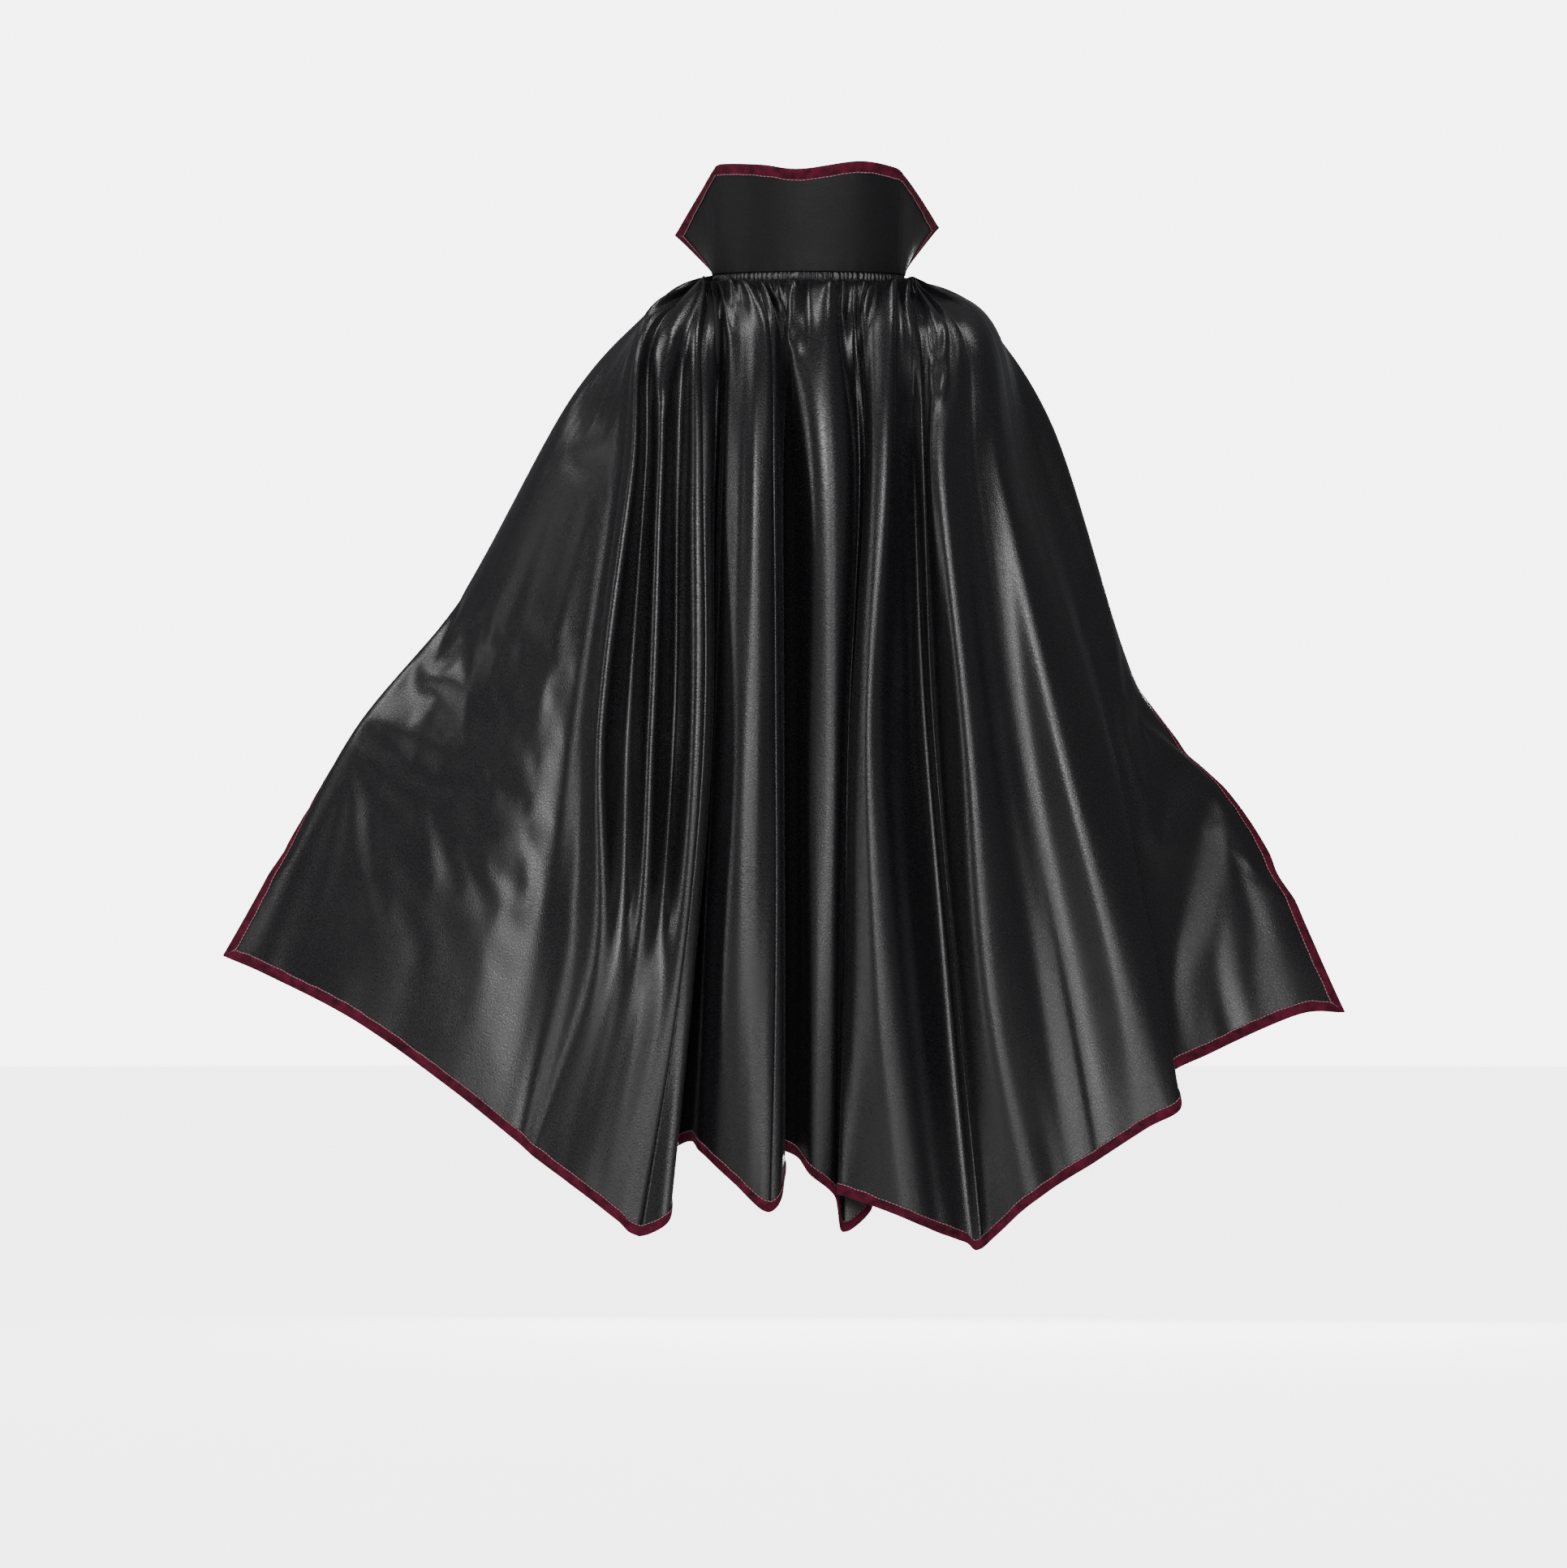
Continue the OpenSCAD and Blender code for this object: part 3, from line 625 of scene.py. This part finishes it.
def folded_tape(name, from_edge, inward_there, half_cloth, mitre_start=False, mitre_end=False, seed=0.0):
    """A tape folded over an edge. Each line of from_edge starts on the edge and runs inwards."""
    edge = from_edge[:, 0]
    run = np.concatenate([[0], np.cumsum(np.linalg.norm(np.diff(edge, axis=0), axis=1))])
    stops = np.linspace(0, run[-1], max(8, int(run[-1] / tape_every)))
    where = np.interp(stops, run, np.arange(len(run)))
    lines, normals = smooth_through(from_edge, where), smooth_through(inward_there, where)
    places = np.empty((len(stops), len(fold_outline), 3))
    cut = np.zeros((len(stops), len(fold_outline), 2))
    for i, stop in enumerate(stops):
        deep = np.concatenate([[0], np.cumsum(np.linalg.norm(np.diff(lines[i], axis=0), axis=1))])
        wave = noise.noise((stop * 90, seed, 0.5))
        width = binding_w * (1 + 0.10 * wave)
        if mitre_start:
            width = min(width, stop + mitre_end_w)
        if mitre_end:
            width = min(width, run[-1] - stop + mitre_end_w)
        pucker = 1 + 0.16 * noise.noise((stop * 160, seed, 3.5))
        outwards = lines[i][0] - lines[i][1]
        outwards /= np.linalg.norm(outwards)
        for k, (share_in, share_out) in enumerate(fold_outline):
            inside = max(share_in, 0) * width
            at = np.array([np.interp(inside, deep, lines[i][:, a]) for a in range(3)])
            normal = np.array([np.interp(inside, deep, normals[i][:, a]) for a in range(3)])
            lift = np.sign(share_out) * half_cloth + share_out * binding_t * pucker
            places[i, k] = at + normal * lift + outwards * max(-share_in, 0) * binding_w
            cut[i, k] = (stop, k * 2 * binding_w / len(fold_outline))
    tape = woven_grid(name, places, cut, turned=True)
    tape.data.materials.append(velvet)
    give_thickness(tape, 0.0006, rounds=1, offset=-1)
    return tape, float(run[-1])


def declare_tape(tape, length, *replaced):
    """Hides the CAD nodes that the tape stands for. The tape and its length are not used."""
    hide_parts(*replaced)


half_satin = satin_thickness / 2
deep_rows = 6
hem_names = ["left_front_hem_binding", "left_back_hem_tape", "centre_back_hem_tape", "right_back_hem_tape",
             "right_front_hem_binding"]
hem_nodes = [
    ("left_shoulder_hem_binding", "left_wing_hem_binding"), ("left_back_hem_binding",),
    ("centre_back_hem_binding",), ("right_back_hem_binding",),
    ("right_shoulder_hem_binding", "right_wing_hem_binding"),
]
for k, name in enumerate(hem_names):
    span = slice(seam_columns[k], seam_columns[k + 1] + 1)
    up = cloth[span, ::-1][:, :deep_rows]
    tape, length = folded_tape(name, up, inward[span, ::-1][:, :deep_rows], half_satin, mitre_start=k == 0,
                               mitre_end=k == 4, seed=k * 3.0)
    if k in (0, 4):
        swing_with_wing(tape)
    else:
        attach(tape, "root")
    declare_tape(tape, length, *hem_nodes[k])

for side, name in ((-1, "left_front_edge_binding"), (1, "right_front_edge_binding")):
    near_edge = slice(0, 12) if side < 0 else slice(-1, -13, -1)
    lines = cloth[near_edge].transpose(1, 0, 2)[::-side]
    normals = inward[near_edge].transpose(1, 0, 2)[::-side]
    tape, length = folded_tape(name, lines, normals, half_satin, mitre_start=side > 0, mitre_end=side < 0,
                               seed=20.0 + side)
    swing_with_wing(tape)
    word = "left" if side < 0 else "right"
    declare_tape(tape, length, f"{word}_throat_binding", f"{word}_wing_edge_binding")

# ---------- the shirred neck casing ----------
# A narrow tube of the same satin round the neck. A flat knitted elastic runs through it and
# shirrs it into close upright puckers.


def flat_cut(length, width, columns_there, rows_there):
    """Places on a flat strip of cloth of this size, at each crossing of its grid."""
    along, up = np.linspace(0, length, columns_there + 1), np.linspace(0, width, rows_there + 1)
    return np.stack(np.meshgrid(along, up, indexing="ij"), axis=-1)


casing_low, casing_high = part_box("neck_casing")
casing_h = casing_high.z - casing_low.z
casing_end = 155
casing_puckers = 96
casing_columns, casing_rows = 900, 14
casing_angles = np.linspace(-casing_end, casing_end, casing_columns + 1)
outer_face = np.empty((casing_columns + 1, casing_rows + 1, 3))
for i, angle in enumerate(casing_angles):
    share = (angle + casing_end) / (2 * casing_end)
    beat = share * casing_puckers + 0.9 * noise.noise((share * 40, 1.0, 0))
    for j in range(casing_rows + 1):
        up = j / casing_rows
        swell = math.sin(math.pi * up) ** 0.6
        fold = 0.5 + 0.5 * math.sin(2 * math.pi * beat + 0.8 * noise.noise((share * 60, up * 2, 5)))
        grow = 0.0004 + 0.0016 * swell * (0.35 + 0.65 * fold)
        place_z = casing_low.z + 0.001 + (casing_h - 0.0004) * up
        outer_face[i, j] = neck_oval(np.array(angle), place_z, grow)
casing_cut = flat_cut(1.15, casing_h, casing_columns, casing_rows)
casing = woven_grid("shirred_casing", outer_face, casing_cut, turned=True)
casing.data.materials.append(satin)
give_thickness(casing, 0.0022, rounds=0, offset=-1)
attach(casing, "root")
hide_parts("neck_casing")

# ---------- the stiff standing collar ----------
# A crescent of stiff nonwoven foam sheet covered in black satin outside and inside. It stands up
# from the casing, leans back from the head and runs out to a sharp point on each side.
collar_base_z = 0.0100
collar_across, collar_up = 170, 42
collar_face = 0.0018
collar_tops = [
    (-112, (-.118, .057, .050)), (-98, (-.105, .023, .069)), (-84, (-.093, -.011, .086)),
    (-70, (-.082, -.044, .102)), (-62, (-.076, -.052, .105)), (-34, (-.042, -.072, .103)),
    (-5, (-.008, -.078, .099)), (32, (.044, -.074, .106)), (62, (.076, -.052, .102)),
    (70, (.082, -.044, .097)), (84, (.093, -.011, .085)), (98, (.105, .023, .070)), (112, (.115, .057, .057)),
]
top_angles = np.array([[top[0]] for top in collar_tops], float)
top_points = np.array([top[1] for top in collar_tops], float)
collar_place = np.linspace(0, len(collar_tops) - 1, collar_across + 1)
collar_base = neck_oval(smooth_through(top_angles, collar_place)[:, 0], collar_base_z)
collar_top = smooth_through(top_points, collar_place)
share_up = np.linspace(0, 1, collar_up + 1)[None, :, None]
collar = collar_base[:, None] * (1 - share_up) + collar_top[:, None] * share_up
collar_outwards = facing(collar)


def grained(name, roughness, kind, scale, darkest, lightest, outlet="Fac"):
    """A grey material whose tone follows a fine pattern, and the outlet of that pattern."""
    made, nodes, links, shader = new_finish(name)
    shader.inputs["Roughness"].default_value = roughness
    place = nodes.new("ShaderNodeTexCoord")
    pattern = nodes.new(kind)
    pattern.inputs["Scale"].default_value = scale
    tone_there = nodes.new("ShaderNodeMapRange")
    tone_there.inputs["To Min"].default_value = darkest
    tone_there.inputs["To Max"].default_value = lightest
    links.new(place.outputs["Object"], pattern.inputs["Vector"])
    links.new(pattern.outputs[outlet], tone_there.inputs["Value"])
    links.new(tone_there.outputs["Result"], shader.inputs["Base Color"])
    return made, pattern


def dress(node_name, material):
    """Gives a CAD node a better material in each of its slots."""
    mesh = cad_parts[node_name].data
    for place in range(max(1, len(mesh.materials))):
        if place < len(mesh.materials):
            mesh.materials[place] = material
        else:
            mesh.materials.append(material)


stiff, _ = grained("stiff nonwoven", 0.9, "ShaderNodeTexNoise", 500, 0.55, 0.75)
dress("collar_stiffener", stiff)

# The satin lies flatter on the collar, so it looks duller there than on the folds.
collar_satin = duller_satin("satin drawn over the collar", 0.25, 0.5)
collar_length = float(np.linalg.norm(np.diff(collar[:, collar_up // 2], axis=0), axis=1).sum())
collar_cut = flat_cut(collar_length, 0.09, collar_across, collar_up)
for name, side, node in (("collar_cover", 1, "collar_outer"), ("collar_inside_cover", -1, "collar_lining")):
    loose = np.zeros((collar_across + 1, collar_up + 1))
    for i in range(collar_across + 1):
        for j in range(collar_up + 1):
            along, up = i / collar_across * 9, j / collar_up * 2
            slow_wave = 0.0005 * noise.noise((along, up, 9.0 + side))
            quick_wave = 0.0002 * noise.noise((along * 3, up * 2, side))
            drawn_up = 0.0002 * math.exp(-((up / 0.25) ** 2)) * math.sin(i * 1.3)
            loose[i, j] = slow_wave + quick_wave + drawn_up
    sheet = collar + collar_outwards * (side * (collar_face + loose + 0.0004))[..., None]
    cover = woven_grid(name, sheet, collar_cut, turned=side > 0)
    cover.data.materials.append(collar_satin)
    give_thickness(cover, satin_thickness, offset=-1)
    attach(cover, "root")
    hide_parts(node)

# ---------- the velvet binding of the collar ----------
# The same bias tape, folded over the two covers and the stiffener along both ends and the top,
# mitred at the points, with a line of lockstitch just inside its edge.
half_collar = collar_face + 0.0007


def from_collar_edges(grid):
    """The grid's lines from the left end, from the top and from the right end, along the tape's way."""
    from_left_end = grid[:12].transpose(1, 0, 2)
    from_top = grid[:, ::-1][:, :8]
    from_right_end = grid[::-1][:12].transpose(1, 0, 2)[::-1]
    return from_left_end, from_top, from_right_end


joined = bmesh.new()
tape_length = 0
edge_lines = zip(from_collar_edges(collar), from_collar_edges(collar_outwards))
for number, (lines, normals) in enumerate(edge_lines):
    part, length = folded_tape("collar_tape", lines, normals, half_collar, mitre_start=number > 0,
                               mitre_end=number < 2, seed=40.0 + number)
    joined.from_mesh(part.data)
    bpy.data.objects.remove(part)
    tape_length += length
collar_tape = as_piece("collar_velvet_binding", joined)
collar_tape.data.materials.append(velvet)
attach(collar_tape, "root")
declare_tape(collar_tape, tape_length, "collar_binding")

# ---------- the closure at the throat ----------
# Two tabs of doubled satin, stitched round the edge, one from each end of the casing. A patch of
# hook tape on the upper one presses onto loop tape on the lower one.
tab_across, tab_high = 60, 16
tab_wall = 0.0016


def tab_of(node, name, first, last, grow, body):
    """A satin tab in the place of its CAD node, between two angles on the neck."""
    low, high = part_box(node)
    faces = np.empty((tab_across + 1, tab_high + 1, 3))
    for i in range(tab_across + 1):
        angle = first + (last - first) * i / tab_across
        for j in range(tab_high + 1):
            from_end, from_side = min(i, tab_across - i), min(j, tab_high - j)
            rolled_edge = 0.0004 * math.exp(-min(from_end, from_side * 1.2))
            stitches = 0.00012 * math.cos(i * 2.1) * math.exp(-abs(min(from_end, from_side) - 2))
            place_z = low.z + (high.z - low.z) * j / tab_high
            faces[i, j] = neck_oval(np.array(float(angle)), place_z, grow + 0.0001 - rolled_edge + stitches)
    tab = woven_grid(name, faces, flat_cut(0.07, 0.016, tab_across, tab_high), turned=True)
    tab.data.materials.append(satin)
    give_thickness(tab, tab_wall - 0.0002, offset=-1)
    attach(tab, body)
    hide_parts(node)


tab_of("closure_tab", "upper_tab", 162, 209, 0.0032, "throat_tab")
tab_of("under_tab", "lower_tab", 151, 198, -0.00145, "root")

pile_tape, loops = grained("hook and loop tape", 0.75, "ShaderNodeTexVoronoi", 1100, 0.006, 0.03, "Distance")
pile_nodes, pile_links = pile_tape.node_tree.nodes, pile_tape.node_tree.links
loop_relief = pile_nodes.new("ShaderNodeBump")
loop_relief.inputs["Strength"].default_value = 0.9
loop_relief.inputs["Distance"].default_value = 0.0004
pile_links.new(loops.outputs["Distance"], loop_relief.inputs["Height"])
pile_links.new(loop_relief.outputs["Normal"], pile_nodes["Principled BSDF"].inputs["Normal"])
dress("hook_tape", pile_tape)
dress("loop_tape", pile_tape)

# ---------- the elastic inside the casing ----------
# A flat off-white elastic, knitted with ribs along its length. It is threaded through the casing
# and draws it up, and only its ends can be seen.
elastic, ribs = grained("knitted elastic", 0.8, "ShaderNodeTexWave", 260, 0.5, 0.75)
ribs.bands_direction = "Z"
ribs.inputs["Distortion"].default_value = 1.5
dress("neck_elastic", elastic)

# ---------- the care label ----------
# A blank label of white woven tape. Its top edge is sewn into the casing seam at the back of the
# neck, inside the cape.
weave, _ = grained("woven label", 0.6, "ShaderNodeTexNoise", 1600, 0.6, 0.82)
dress("care_label", weave)
